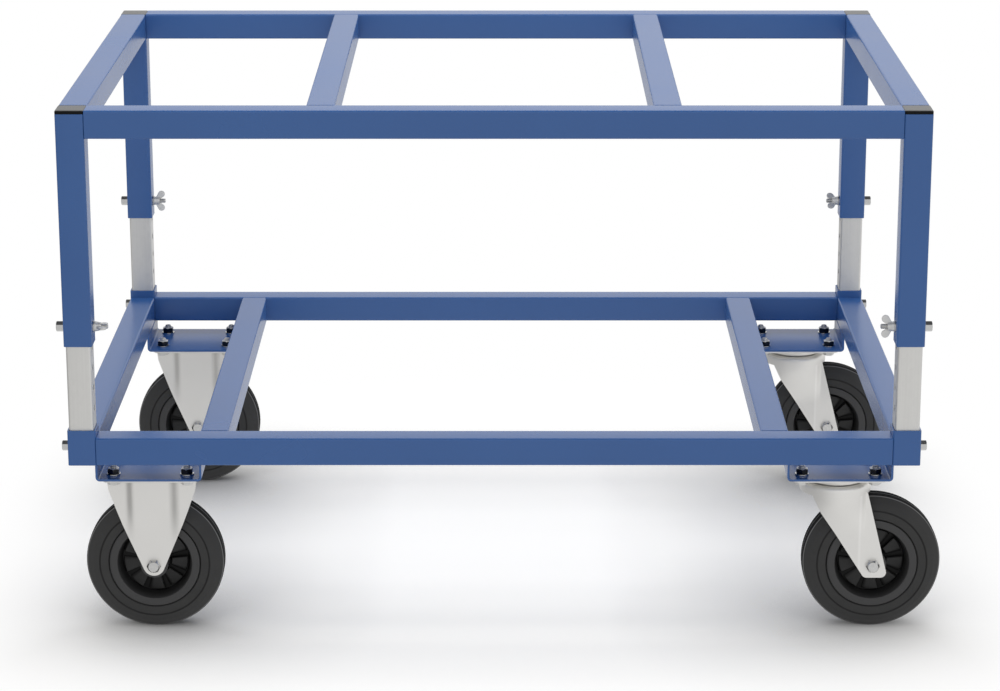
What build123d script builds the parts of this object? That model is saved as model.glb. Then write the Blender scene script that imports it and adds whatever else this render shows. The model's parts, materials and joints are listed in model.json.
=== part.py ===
"""Pallet dolly: a low welded frame on four casters carries a second frame on telescopic legs.

X runs along the long side with the fixed casters at -X, the front is at -Y and Z is up.
The origin is on the floor, under the middle of the frame. All sizes are in millimetres.
"""

import os
from math import cos, radians, sin

from build123d import *

os.makedirs("parts", exist_ok=True)

# Frame
frame_length = 1210.0
frame_width = 810.0
deck_height = 777.0
upper_cross_x = 241.0

# Square tube of both frames
tube = 40.0
tube_wall = 2.0
tube_corner = 3.0

# Corner sockets, legs and posts
socket_height = 51.5
leg_gap = 0.5
leg_wall = 2.0
leg_corner = 3.0
leg_length = 371.0
post_length = 333.0
cap_thickness = 5.0
cap_plug_depth = 12.0
cap_plug_wall = 2.0
cap_plug_gap = 0.2

# Hole row of the legs, counted from the hole that the clamp bolt is in
hole_pitch = 30.0
holes_below = 4
holes_above = 2
clamp_edge = 25.0
screw_height = 24.0
hole_gap = 0.4

# Clamp bolts, wing nuts and leg screws share one thread size
clamp_thread = 8.0
clamp_head_flats = 13.0
clamp_head_height = 10.0
clamp_washer = 17.0
clamp_washer_thickness = 1.6
clamp_end = 21.0
screw_reach = 12.0
wing_gap = 0.15
wing_thread_gap = 0.1
wing_hub_diameter = 15.0
wing_hub_tip = 11.0
wing_hub_length = 10.0
wing_span = 33.0
wing_reach = 18.0
wing_lobe = 11.0
wing_thickness = 3.0
wing_turn = {"front_left": 90.0, "front_right": 0.0, "rear_left": 12.0, "rear_right": 55.0}

# Caster brackets, bent from sheet
bracket_sheet = 3.0
bracket_height = 26.0
bracket_depth = 128.0
bracket_inset = 7.0
bracket_bend = 3.0
plate_room = 5.0

# Casters
caster_height = 238.0
plate_length = 135.0
plate_width = 110.0
plate_thickness = 5.0
plate_corner = 10.0
plate_pitch_x = 105.0
plate_pitch_y = 80.0
plate_thread = 10.0
plate_hole_gap = 0.5
plate_head_flats = 16.0
plate_head_height = 6.4
plate_nut_height = 8.0
plate_washer = 20.0
plate_washer_thickness = 2.0
plate_bolt_end = 4.0
thread_gap = 0.05

# Wheels
wheel_diameter = 200.0
wheel_width = 50.0
tread_width = 22.0
shoulder_round = 1.0
side_step = 1.0
side_step_diameter = 159.0
tyre_bore = 131.0
rim_inner = 108.0
rim_web = 8.0
rim_panels = 9
rim_panel_inner = 46.0
rim_panel_outer = 94.0
rim_groove_width = 4.5
rim_groove_depth = 3.0
hub_diameter = 40.0
hub_clearance = 0.5

# Axle and roller bearing
axle_thread = 12.0
axle_head_flats = 18.0
axle_head_height = 7.5
axle_nut_height = 10.0
axle_end = 3.0
axle_gap = 0.1
sleeve_diameter = 20.0
roller_diameter = 4.8
roller_count = 8
roller_length = 50.0
roller_gap = 0.1
cage_thickness = 3.0
cage_end = 3.0

# Forks
fork_gap = 61.0
fork_sheet = 3.5
fixed_top_width = 129.0
fixed_neck_width = 125.0
fixed_neck_drop = 18.5
fixed_shoulder_width = 105.0
fixed_shoulder_drop = 47.0
fixed_waist_width = 87.5
fixed_waist_drop = 70.0
fixed_tip = 31.0
fixed_panel_width = 56.0
fixed_panel_rise = 3.5
fixed_panel_slope = 8.0
swivel_trail = 54.0
swivel_top_front = 45.0
swivel_top_back = 39.0
swivel_tip_front = 19.7
swivel_tip_back = 16.2
swivel_tip_drop = 18.5
swivel_tip_corner = 8.0
swivel_shoulder_drop = 44.0
swivel_shoulder_corner = 12.0

# Swivel head
head_diameter = 103.0
head_sheet = 5.0
head_skirt = 9.0
head_round = 6.0
race_diameter = 66.0
race_outer = 86.0
race_round = 2.0
race_thickness = 9.0
ball_diameter = 8.0
ball_count = 16
ball_gap = 0.1
race_gap = 3.0
pin_diameter = 14.0
pin_gap = 0.1
pin_head_diameter = 26.0
pin_head_height = 7.0
pin_head_gap = 0.3

# Heights that follow from the sizes above
rail_bottom = caster_height + bracket_height
upper_rail_bottom = deck_height - tube
post_top = deck_height - cap_thickness
post_bottom = post_top - post_length
clamp_height = post_bottom + clamp_edge
screw_z = rail_bottom + screw_height
plate_bottom = caster_height - plate_thickness
axle_height = wheel_diameter / 2
race_bottom = plate_bottom - race_thickness
head_top = race_bottom - race_gap
head_bottom = head_top - head_sheet
skirt_bottom = head_bottom - head_skirt
ball_height = (race_bottom + head_top) / 2

# Places that follow from the sizes above
corner_x = (frame_length - tube) / 2
corner_y = (frame_width - tube) / 2
bracket_span = plate_length + 2 * plate_room
bracket_outer = frame_length / 2 - tube
bracket_inner = bracket_outer - bracket_span
lower_cross_x = bracket_inner - tube / 2
caster_x = bracket_outer - bracket_span / 2
caster_y = frame_width / 2 - bracket_inset - bracket_depth / 2
leg = tube - 2 * tube_wall - 2 * leg_gap

corners = {
    "front_left": (-1, -1),
    "front_right": (1, -1),
    "rear_left": (-1, 1),
    "rear_right": (1, 1),
}
ends = {"front": -1, "rear": 1}


def save(builder, name):
    """Label a finished piece and write it out."""
    builder.part.label = name
    export_step(builder.part, f"parts/{name}.step")


def tube_section(size, wall, corner):
    """Hollow square section, drawn in the open sketch."""
    RectangleRounded(size, size, corner)
    bore = size - 2 * wall
    RectangleRounded(bore, bore, max(corner - wall, wall / 4), mode=Mode.SUBTRACT)


def along_x(x, y, z, sign=1):
    """Plane at a point, facing along X, away from the middle for the sign of that side."""
    return Plane(origin=(x, y, z), x_dir=(0, 1, 0), z_dir=(sign, 0, 0))


def along_y(x, y, z, sign=1):
    """Plane at a point, facing along Y."""
    return Plane(origin=(x, y, z), x_dir=(1, 0, 0), z_dir=(0, sign, 0))


def rail(name, plane, length):
    """A straight tube, centred on its plane and as long to both sides."""
    with BuildPart() as piece:
        with BuildSketch(plane):
            tube_section(tube, tube_wall, tube_corner)
        extrude(amount=length / 2, both=True)
    save(piece, name)


# Rails butt against the corner sockets or posts, and cross members against the long rails.
long_span = frame_length - 2 * tube
short_span = frame_width - 2 * tube
for level, bottom, cross_x in (
    ("lower", rail_bottom, lower_cross_x),
    ("upper", upper_rail_bottom, upper_cross_x),
):
    middle = bottom + tube / 2
    rail(f"{level}_front_rail", along_x(0, -corner_y, middle), long_span)
    rail(f"{level}_rear_rail", along_x(0, corner_y, middle), long_span)
    rail(f"{level}_left_rail", along_y(-corner_x, 0, middle), short_span)
    rail(f"{level}_right_rail", along_y(corner_x, 0, middle), short_span)
    rail(f"{level}_left_cross_member", along_y(-cross_x, 0, middle), short_span)
    rail(f"{level}_right_cross_member", along_y(cross_x, 0, middle), short_span)

# Corner sockets of the lower frame take the legs, each with one screw hole in its outer wall.
corner_places = [(sx * corner_x, sy * corner_y) for sx, sy in corners.values()]
screw_hole = clamp_thread / 2 + hole_gap
with BuildPart() as corner_sockets:
    with BuildSketch(Plane.XY.offset(rail_bottom)):
        with Locations(*corner_places):
            tube_section(tube, tube_wall, tube_corner)
    extrude(amount=socket_height)
    for sx, sy in corners.values():
        with BuildSketch(along_x(sx * corner_x, sy * corner_y, screw_z, sx)):
            Circle(screw_hole)
        extrude(amount=tube, mode=Mode.SUBTRACT)
save(corner_sockets, "corner_sockets")

# Legs slide in the posts. Their holes go through both side walls.
hole_heights = [clamp_height + hole_pitch * k for k in range(-holes_below, holes_above + 1)]
for corner, (sx, sy) in corners.items():
    x = sx * corner_x
    y = sy * corner_y
    with BuildPart() as leg_tube:
        with BuildSketch(Plane.XY.offset(rail_bottom)):
            with Locations((x, y)):
                tube_section(leg, leg_wall, leg_corner)
        extrude(amount=leg_length)
        with BuildSketch(along_x(x, y, 0)):
            with Locations(*[(0, z) for z in [screw_z] + hole_heights]):
                Circle(screw_hole)
        extrude(amount=tube, both=True, mode=Mode.SUBTRACT)
    save(leg_tube, f"leg_{corner}")

    with BuildPart() as post:
        with BuildSketch(Plane.XY.offset(post_bottom)):
            with Locations((x, y)):
                tube_section(tube, tube_wall, tube_corner)
        extrude(amount=post_length)
        with BuildSketch(along_x(x, y, clamp_height)):
            Circle(screw_hole)
        extrude(amount=tube, both=True, mode=Mode.SUBTRACT)
    save(post, f"post_{corner}")

# End caps close the posts, flush with the rails, with a hollow plug inside the tube.
plug = tube - 2 * tube_wall - 2 * cap_plug_gap
with BuildPart() as end_caps:
    with BuildSketch(Plane.XY.offset(post_top)):
        with Locations(*corner_places):
            RectangleRounded(tube, tube, tube_corner)
    extrude(amount=cap_thickness)
    with BuildSketch(Plane.XY.offset(post_top)):
        with Locations(*corner_places):
            tube_section(plug, cap_plug_wall, tube_corner)
    extrude(amount=-cap_plug_depth)
save(end_caps, "end_caps")

# Leg screws: a hexagon head outside the socket, and a short shank through socket and leg wall.
with BuildPart() as leg_screws:
    for sx, sy in corners.values():
        face = along_x(sx * frame_length / 2, sy * corner_y, screw_z, sx)
        with BuildSketch(face):
            RegularPolygon(clamp_head_flats / 2, 6, major_radius=False, rotation=30)
        extrude(amount=clamp_head_height)
        with BuildSketch(face):
            Circle(clamp_thread / 2)
        extrude(amount=-screw_reach)
save(leg_screws, "leg_screws")

# Clamp bolts: head and washer outside the post, thread end inside for the wing nut.
head_seat = frame_length / 2 + clamp_washer_thickness
clamp_shank = tube + clamp_washer_thickness + clamp_end
with BuildPart() as clamp_bolts:
    for sx, sy in corners.values():
        face = along_x(sx * head_seat, sy * corner_y, clamp_height, sx)
        with BuildSketch(face):
            RegularPolygon(clamp_head_flats / 2, 6, major_radius=False, rotation=30)
        extrude(amount=clamp_head_height)
        with BuildSketch(face):
            Circle(clamp_thread / 2)
        extrude(amount=-clamp_shank)
save(clamp_bolts, "clamp_bolts")

with BuildPart() as clamp_washers:
    for sx, sy in corners.values():
        for distance in (frame_length / 2, frame_length / 2 - tube - clamp_washer_thickness):
            with BuildSketch(along_x(sx * distance, sy * corner_y, clamp_height, sx)):
                Circle(clamp_washer / 2)
                Circle(screw_hole, mode=Mode.SUBTRACT)
            extrude(amount=clamp_washer_thickness)
save(clamp_washers, "clamp_washers")

# Wing nuts: a tapered hub with two lobes that flare away from the post.
nut_seat = frame_length / 2 - tube - clamp_washer_thickness - wing_gap
lobe_radial = (wing_span - wing_lobe) / 2
lobe_axial = wing_reach - wing_lobe / 2
for corner, (sx, sy) in corners.items():
    turn = radians(wing_turn[corner])
    radial = (0, sin(turn), cos(turn))
    centre = (sx * nut_seat, sy * corner_y, clamp_height)
    with BuildPart() as wing_nut:
        hub = Plane(origin=centre, x_dir=radial, z_dir=(-sx, 0, 0))
        with BuildSketch(hub):
            Circle(wing_hub_diameter / 2)
        with BuildSketch(hub.offset(wing_hub_length)):
            Circle(wing_hub_tip / 2)
        loft()
        wings = Plane(origin=centre, x_dir=radial, z_dir=Vector(-sx, 0, 0).cross(Vector(*radial)))
        across = 1 if wings.y_dir.X * -sx > 0 else -1
        for side in (-1, 1):
            with BuildSketch(wings):
                with Locations((side * lobe_radial, across * lobe_axial)):
                    Circle(wing_lobe / 2)
                with Locations((side * wing_hub_tip / 4, across * wing_hub_length / 2)):
                    Circle(wing_hub_tip / 4)
                make_hull()
            extrude(amount=wing_thickness / 2, both=True)
        with BuildSketch(hub):
            Circle(clamp_thread / 2 + wing_thread_gap)
        extrude(amount=wing_reach, mode=Mode.SUBTRACT)
    save(wing_nut, f"wing_nut_{corner}")

# Caster brackets: a base with two flanges, bent up to the side rail and the cross member.
caster_places = [(sx * caster_x, sy * caster_y) for sx, sy in corners.values()]
with BuildPart() as caster_brackets:
    for x, y in caster_places:
        with BuildSketch(along_y(x, y, caster_height, -1)):
            outer = bracket_span + 2 * bracket_sheet
            with Locations((0, bracket_height / 2)):
                bent = Rectangle(outer, bracket_height)
            fillet(bent.vertices().group_by(Axis.Y)[0], bracket_bend + bracket_sheet)
            inner_height = bracket_height - bracket_sheet
            with BuildSketch(mode=Mode.PRIVATE) as space:
                with Locations((0, bracket_sheet + inner_height / 2)):
                    Rectangle(bracket_span, inner_height)
                fillet(space.vertices().group_by(Axis.Y)[0], bracket_bend)
            add(space.sketch, mode=Mode.SUBTRACT)
        extrude(amount=bracket_depth / 2, both=True)
    with BuildSketch(Plane.XY.offset(caster_height)):
        with Locations(*caster_places):
            with GridLocations(plate_pitch_x, plate_pitch_y, 2, 2):
                Circle(plate_thread / 2 + plate_hole_gap)
    extrude(amount=bracket_sheet, mode=Mode.SUBTRACT)
save(caster_brackets, "caster_brackets")

# Plate bolts point up, with washer and nut on the bracket's base.
nut_seat_z = caster_height + bracket_sheet + plate_washer_thickness
with BuildPart() as caster_bolts:
    with BuildSketch(Plane.XY.offset(plate_bottom)):
        with Locations(*caster_places):
            with GridLocations(plate_pitch_x, plate_pitch_y, 2, 2):
                RegularPolygon(plate_head_flats / 2, 6, major_radius=False)
    extrude(amount=-plate_head_height)
    with BuildSketch(Plane.XY.offset(plate_bottom)):
        with Locations(*caster_places):
            with GridLocations(plate_pitch_x, plate_pitch_y, 2, 2):
                Circle(plate_thread / 2)
    extrude(amount=nut_seat_z + plate_nut_height + plate_bolt_end - plate_bottom)
save(caster_bolts, "caster_bolts")

with BuildPart() as caster_washers:
    with BuildSketch(Plane.XY.offset(caster_height + bracket_sheet)):
        with Locations(*caster_places):
            with GridLocations(plate_pitch_x, plate_pitch_y, 2, 2):
                Circle(plate_washer / 2)
                Circle(plate_thread / 2 + plate_hole_gap, mode=Mode.SUBTRACT)
    extrude(amount=plate_washer_thickness)
save(caster_washers, "caster_washers")

with BuildPart() as caster_nuts:
    with BuildSketch(Plane.XY.offset(nut_seat_z)):
        with Locations(*caster_places):
            with GridLocations(plate_pitch_x, plate_pitch_y, 2, 2):
                RegularPolygon(plate_head_flats / 2, 6, major_radius=False)
                Circle(plate_thread / 2 + thread_gap, mode=Mode.SUBTRACT)
    extrude(amount=plate_nut_height)
save(caster_nuts, "caster_nuts")


def plate_outline():
    """Caster top plate with its bolt holes, drawn in the open sketch."""
    RectangleRounded(plate_length, plate_width, plate_corner)
    with GridLocations(plate_pitch_x, plate_pitch_y, 2, 2):
        Circle(plate_thread / 2 + plate_hole_gap, mode=Mode.SUBTRACT)


# Fixed forks: top plate and two pressed V-shaped legs, each with a raised middle panel.
fork_half = fork_gap / 2
panel_half = fixed_panel_width / 2
slope_half = panel_half + fixed_panel_slope
top_half = fixed_top_width / 2
raised = fork_half + fork_sheet
flat = raised - fixed_panel_rise
skin = [(-top_half, flat), (-slope_half, flat), (-panel_half, raised)]
skin += [(-px, py) for px, py in reversed(skin)]
section = skin + [(px, py - fork_sheet) for px, py in reversed(skin)]
leg_outline = (
    (fixed_top_width, 0),
    (fixed_neck_width, fixed_neck_drop),
    (fixed_shoulder_width, fixed_shoulder_drop),
    (fixed_waist_width, fixed_waist_drop),
)
for end, sy in ends.items():
    floor = Plane(origin=(-caster_x, sy * caster_y, 0))
    side = along_y(-caster_x, sy * caster_y, 0, -1)
    with BuildPart() as fixed_fork:
        with BuildSketch(floor.offset(axle_height - fixed_tip)):
            Polygon(*section, align=None)
            mirror(about=Plane.XZ)
        extrude(amount=plate_bottom - axle_height + fixed_tip)
        with BuildSketch(side):
            with Locations((0, axle_height)):
                Circle(fixed_tip / 2)
            with BuildLine():
                for width, drop in leg_outline:
                    Line((-width / 2, plate_bottom - drop), (width / 2, plate_bottom - drop))
            make_hull()
        extrude(amount=plate_width, both=True, mode=Mode.INTERSECT)
        with BuildSketch(side):
            with Locations((0, axle_height)):
                Circle(axle_thread / 2 + axle_gap)
        extrude(amount=plate_width, both=True, mode=Mode.SUBTRACT)
        with BuildSketch(floor.offset(plate_bottom)):
            plate_outline()
        extrude(amount=plate_thickness)
    save(fixed_fork, f"fixed_fork_{end}")


def ball_track(centre):
    """Ring-shaped groove for the balls, cut from the open part."""
    with BuildSketch(Plane(origin=centre, x_dir=(1, 0, 0), z_dir=(0, -1, 0))) as track:
        with Locations((race_diameter / 2, 0)):
            Circle(ball_diameter / 2 + ball_gap)
    revolve(track.sketch, axis=Axis(centre, (0, 0, 1)), mode=Mode.SUBTRACT)


# Swivel heads: plate with the upper race, balls, and a king pin that carries the fork.
for end, sy in ends.items():
    floor = Plane(origin=(caster_x, sy * caster_y, 0))
    ball_centre = (caster_x, sy * caster_y, ball_height)
    with BuildPart() as swivel_plate:
        with BuildSketch(floor.offset(plate_bottom)):
            plate_outline()
            Circle(pin_diameter / 2 + thread_gap, mode=Mode.SUBTRACT)
        extrude(amount=plate_thickness)
        with BuildSketch(floor.offset(race_bottom)):
            Circle(race_outer / 2)
            Circle(pin_head_diameter / 2, mode=Mode.SUBTRACT)
        extrude(amount=race_thickness)
        lowest = swivel_plate.edges().filter_by(GeomType.CIRCLE).group_by(Axis.Z)[0]
        fillet(lowest.sort_by(SortBy.RADIUS)[-1], race_round)
        ball_track(ball_centre)
    save(swivel_plate, f"swivel_plate_{end}")

    with BuildPart() as swivel_balls:
        with Locations(Location(ball_centre)):
            with PolarLocations(race_diameter / 2, ball_count):
                Sphere(ball_diameter / 2)
    save(swivel_balls, f"swivel_balls_{end}")

    side = along_y(caster_x, sy * caster_y, 0, -1)
    shoulder = skirt_bottom - swivel_shoulder_drop
    leg_foot = axle_height - swivel_tip_drop
    outside = fork_gap + 2 * fork_sheet
    reach = swivel_trail + swivel_tip_front + fork_gap / 2
    with BuildPart() as swivel_fork:
        with BuildSketch(floor.offset(skirt_bottom)):
            Circle(head_diameter / 2)
        with BuildSketch(floor.offset(shoulder)):
            RectangleRounded(2 * reach, outside, swivel_shoulder_corner)
        loft()
        with BuildSketch(floor.offset(shoulder)):
            RectangleRounded(2 * reach, outside, swivel_shoulder_corner)
        extrude(amount=leg_foot - shoulder)
        with BuildSketch(floor.offset(skirt_bottom)):
            Circle(head_diameter / 2 - fork_sheet)
        with BuildSketch(floor.offset(shoulder)):
            Rectangle(2 * reach + fork_gap, fork_gap)
        loft(mode=Mode.SUBTRACT)
        with BuildSketch(floor.offset(shoulder)):
            Rectangle(2 * reach + fork_gap, fork_gap)
        extrude(amount=leg_foot - shoulder, mode=Mode.SUBTRACT)
        with BuildSketch(side):
            for tip in (swivel_tip_corner - swivel_tip_back, swivel_tip_front - swivel_tip_corner):
                with Locations((swivel_trail + tip, leg_foot + swivel_tip_corner)):
                    Circle(swivel_tip_corner)
            with BuildLine():
                Line((-swivel_top_back, skirt_bottom), (swivel_top_front, skirt_bottom))
            make_hull()
        extrude(amount=head_diameter, both=True, mode=Mode.INTERSECT)
        with BuildSketch(side):
            with Locations((swivel_trail, axle_height)):
                Circle(axle_thread / 2 + axle_gap)
        extrude(amount=head_diameter, both=True, mode=Mode.SUBTRACT)
        with BuildSketch(floor.offset(skirt_bottom)):
            Circle(head_diameter / 2)
            Circle(head_diameter / 2 - fork_sheet, mode=Mode.SUBTRACT)
        extrude(amount=head_skirt)
        with BuildSketch(floor.offset(head_bottom)):
            Circle(head_diameter / 2)
        extrude(amount=head_sheet)
        fillet(swivel_fork.edges().filter_by(GeomType.CIRCLE).sort_by(Axis.Z)[-1], head_round)
        with BuildSketch(floor.offset(head_bottom)):
            Circle(pin_diameter / 2 + pin_gap)
        extrude(amount=head_sheet, mode=Mode.SUBTRACT)
        ball_track(ball_centre)
    save(swivel_fork, f"swivel_fork_{end}")

swivel_places = [(caster_x, sy * caster_y) for sy in ends.values()]
pin_seat = head_bottom - pin_head_gap
with BuildPart() as king_pins:
    with BuildSketch(Plane.XY.offset(pin_seat)):
        with Locations(*swivel_places):
            Circle(pin_diameter / 2)
    extrude(amount=caster_height - pin_seat)
    with BuildSketch(Plane.XY.offset(pin_seat)):
        with Locations(*swivel_places):
            Circle(pin_head_diameter / 2)
    extrude(amount=-pin_head_height)
save(king_pins, "king_pins")


# Wheels turn about Y. The swivel wheels trail behind their king pins.
axles = {
    "front_left": (-caster_x, -caster_y),
    "rear_left": (-caster_x, caster_y),
    "front_right": (caster_x + swivel_trail, -caster_y),
    "rear_right": (caster_x + swivel_trail, caster_y),
}
bore = sleeve_diameter / 2 + roller_diameter + 2 * roller_gap
pitch_radius = (sleeve_diameter / 2 + bore) / 2
hub_half = fork_half - hub_clearance
wheel_radius = wheel_diameter / 2
edge = wheel_width / 2
rim_edge = edge - side_step
shoulder_foot = side_step_diameter / 2
tyre_side = [
    (rim_edge, tyre_bore / 2),
    (rim_edge, shoulder_foot - side_step),
    (edge, shoulder_foot),
    (tread_width / 2, wheel_radius),
]
tyre_points = tyre_side + [(-px, py) for px, py in reversed(tyre_side)]
for corner, (x, y) in axles.items():
    axis = Axis((x, y, axle_height), (0, 1, 0))
    half = Plane(origin=(x, y, axle_height), x_dir=(0, 1, 0), z_dir=(1, 0, 0))
    face = along_y(x, y, axle_height)
    with BuildPart() as tyre:
        with BuildSketch(half) as profile:
            Polygon(*tyre_points, align=None)
            shoulders = profile.vertices().filter_by_position(Axis.Y, shoulder_foot, wheel_radius)
            fillet(shoulders, min(shoulder_round, side_step))
        revolve(axis=axis)
    save(tyre, f"tyre_{corner}")

    with BuildPart() as rim:
        with BuildSketch(half):
            with Locations((0, (tyre_bore + rim_inner) / 4)):
                Rectangle(2 * rim_edge, (tyre_bore - rim_inner) / 2)
            with Locations((0, (rim_inner / 2 + bore) / 2)):
                Rectangle(rim_web, rim_inner / 2 - bore)
            with Locations((0, (hub_diameter / 2 + bore) / 2)):
                Rectangle(2 * hub_half, hub_diameter / 2 - bore)
        revolve(axis=axis)
        for sign in (-1, 1):
            with BuildSketch(face.offset(sign * rim_web / 2)):
                with PolarLocations((rim_panel_inner + rim_panel_outer) / 4, rim_panels, start_angle=90):
                    Rectangle((rim_panel_outer - rim_panel_inner) / 2, rim_groove_width)
            extrude(amount=-sign * rim_groove_depth, mode=Mode.SUBTRACT)
    save(rim, f"rim_{corner}")

    with BuildPart() as roller_bearing:
        with BuildSketch(face):
            Circle(pitch_radius + cage_thickness / 2)
            Circle(pitch_radius - cage_thickness / 2, mode=Mode.SUBTRACT)
        extrude(amount=roller_length / 2 + cage_end, both=True)
        with BuildSketch(face):
            with PolarLocations(pitch_radius, roller_count):
                Circle(roller_diameter / 2 + roller_gap)
        extrude(amount=roller_length / 2 + roller_gap, both=True, mode=Mode.SUBTRACT)
        with BuildSketch(face):
            with PolarLocations(pitch_radius, roller_count):
                Circle(roller_diameter / 2)
        extrude(amount=roller_length / 2, both=True)
    save(roller_bearing, f"roller_bearing_{corner}")


def axle_bolt(x, y):
    """Bolt through both fork legs with its head to the front, and its nut behind."""
    front = along_y(x, y - fork_half - fork_sheet, axle_height, -1)
    back = along_y(x, y + fork_half + fork_sheet, axle_height)
    with BuildSketch(front) as head:
        RegularPolygon(axle_head_flats / 2, 6, major_radius=False)
    extrude(head.sketch, amount=axle_head_height)
    with BuildSketch(front) as shank:
        Circle(axle_thread / 2)
    extrude(shank.sketch, amount=-(fork_gap + 2 * fork_sheet + axle_nut_height + axle_end))
    with BuildSketch(back) as nut:
        RegularPolygon(axle_head_flats / 2, 6, major_radius=False)
        Circle(axle_thread / 2 + thread_gap, mode=Mode.SUBTRACT)
    extrude(nut.sketch, amount=axle_nut_height)


def axle_sleeve(x, y):
    """Steel tube between the fork legs that the rollers run on."""
    with BuildSketch(along_y(x, y, axle_height)) as ring:
        Circle(sleeve_diameter / 2)
        Circle(axle_thread / 2 + axle_gap, mode=Mode.SUBTRACT)
    extrude(ring.sketch, amount=fork_half, both=True)


with BuildPart() as fixed_axles:
    for corner in ("front_left", "rear_left"):
        axle_bolt(*axles[corner])
save(fixed_axles, "fixed_axles")

with BuildPart() as fixed_axle_sleeves:
    for corner in ("front_left", "rear_left"):
        axle_sleeve(*axles[corner])
save(fixed_axle_sleeves, "fixed_axle_sleeves")

for end in ends:
    with BuildPart() as swivel_axle:
        axle_bolt(*axles[f"{end}_right"])
    save(swivel_axle, f"swivel_axle_{end}")

    with BuildPart() as swivel_axle_sleeve:
        axle_sleeve(*axles[f"{end}_right"])
    save(swivel_axle_sleeve, f"swivel_axle_sleeve_{end}")
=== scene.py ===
# %% [markdown]
# # Pallet dolly
# A low welded frame runs on two fixed and two swivel casters. Four telescopic legs carry a
# second frame at working height. The solids come packed from the CAD model, in metres, and this
# file gives them their finishes and makes the pressed, turned and moulded pieces finer.

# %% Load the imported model
import json
from math import cos, pi, radians, sin, sqrt, tan

import bmesh
import bpy
from mathutils import Matrix, Vector


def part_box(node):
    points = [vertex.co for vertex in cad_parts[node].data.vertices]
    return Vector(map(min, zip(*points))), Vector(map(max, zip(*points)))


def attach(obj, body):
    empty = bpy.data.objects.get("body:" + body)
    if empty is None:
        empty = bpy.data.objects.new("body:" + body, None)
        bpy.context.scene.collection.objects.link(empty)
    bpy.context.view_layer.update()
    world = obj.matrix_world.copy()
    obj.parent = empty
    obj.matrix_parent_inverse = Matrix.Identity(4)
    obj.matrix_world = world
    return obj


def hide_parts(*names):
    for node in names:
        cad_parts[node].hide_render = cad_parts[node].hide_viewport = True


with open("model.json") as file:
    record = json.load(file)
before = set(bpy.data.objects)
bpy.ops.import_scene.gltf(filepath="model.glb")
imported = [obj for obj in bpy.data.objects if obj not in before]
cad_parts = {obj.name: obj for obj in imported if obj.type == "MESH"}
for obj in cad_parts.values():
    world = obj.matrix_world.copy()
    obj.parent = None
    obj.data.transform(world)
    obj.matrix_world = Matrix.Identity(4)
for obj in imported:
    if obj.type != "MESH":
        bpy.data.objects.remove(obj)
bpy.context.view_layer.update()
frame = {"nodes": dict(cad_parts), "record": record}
scene = bpy.context.scene
mm = 0.001
corners = ("front_left", "front_right", "rear_left", "rear_right")
ends = ("front", "rear")
bodies = frame["record"]["behaviour"]["bodies"]
body_of = {node: body for body, members in bodies.items() for node in members}
slot_of = {row["node"]: row["material_slot"] for row in frame["record"]["subparts"]}

# %% [markdown]
# ## Camera
# The picture is taken from the front with a long lens, well above the frame. A level camera
# with a shifted lens would keep the posts upright, but a shift that large would push the object
# out of every other view. So this camera is tilted down instead, and its place was fitted so
# that the corners of both frames and the wheels land close to where the picture has them.

# %% Camera
camera_place = Vector((0.0165, -4.594, 1.638))
camera_tilt = radians(15.94)
camera_lens = 111.7
camera_sideways = -0.006
camera = bpy.data.objects.new("camera", bpy.data.cameras.new("camera"))
scene.collection.objects.link(camera)
camera.location = camera_place
camera.rotation_euler = (pi / 2 - camera_tilt, 0, 0)
camera.data.lens = camera_lens
camera.data.shift_x = camera_sideways
scene.camera = camera
print("camera", round(camera_place.length, 3), "m from the origin")

# %% [markdown]
# ## Shader sums
# The nodes of a finish could be wired one by one, but a sum shows sooner what a finish is made
# of. `Value` wraps one output socket, and its operators add the Math node that works the sum
# out. `Finish` holds a material and has one method that makes any other node from its type, its
# settings and what feeds its sockets. The other methods are short names for nodes used often.


# %% Values
class Value:
    """One output socket of a finish, for use in sums."""

    def __init__(self, finish, socket):
        self.finish = finish
        self.socket = socket

    def other(self, name):
        """Another output of the same node."""
        return Value(self.finish, self.socket.node.outputs[name])

    def math(self, operation, second=0.0):
        """A Math node on this value and a second one."""
        return self.finish.node("ShaderNodeMath", {"operation": operation}, {0: self, 1: second})

    def __add__(self, second):
        return self.math("ADD", second)

    def __sub__(self, second):
        return self.math("SUBTRACT", second)

    def __rsub__(self, first):
        return self.finish.node("ShaderNodeMath", {"operation": "SUBTRACT"}, {0: first, 1: self})

    def __mul__(self, second):
        return self.math("MULTIPLY", second)

    __radd__ = __add__
    __rmul__ = __mul__


print("values can be added, subtracted and multiplied")


# %% Finishes
def grey(level):
    """A colour with as much red as green and blue."""
    return (level, level, level, 1)


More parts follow.
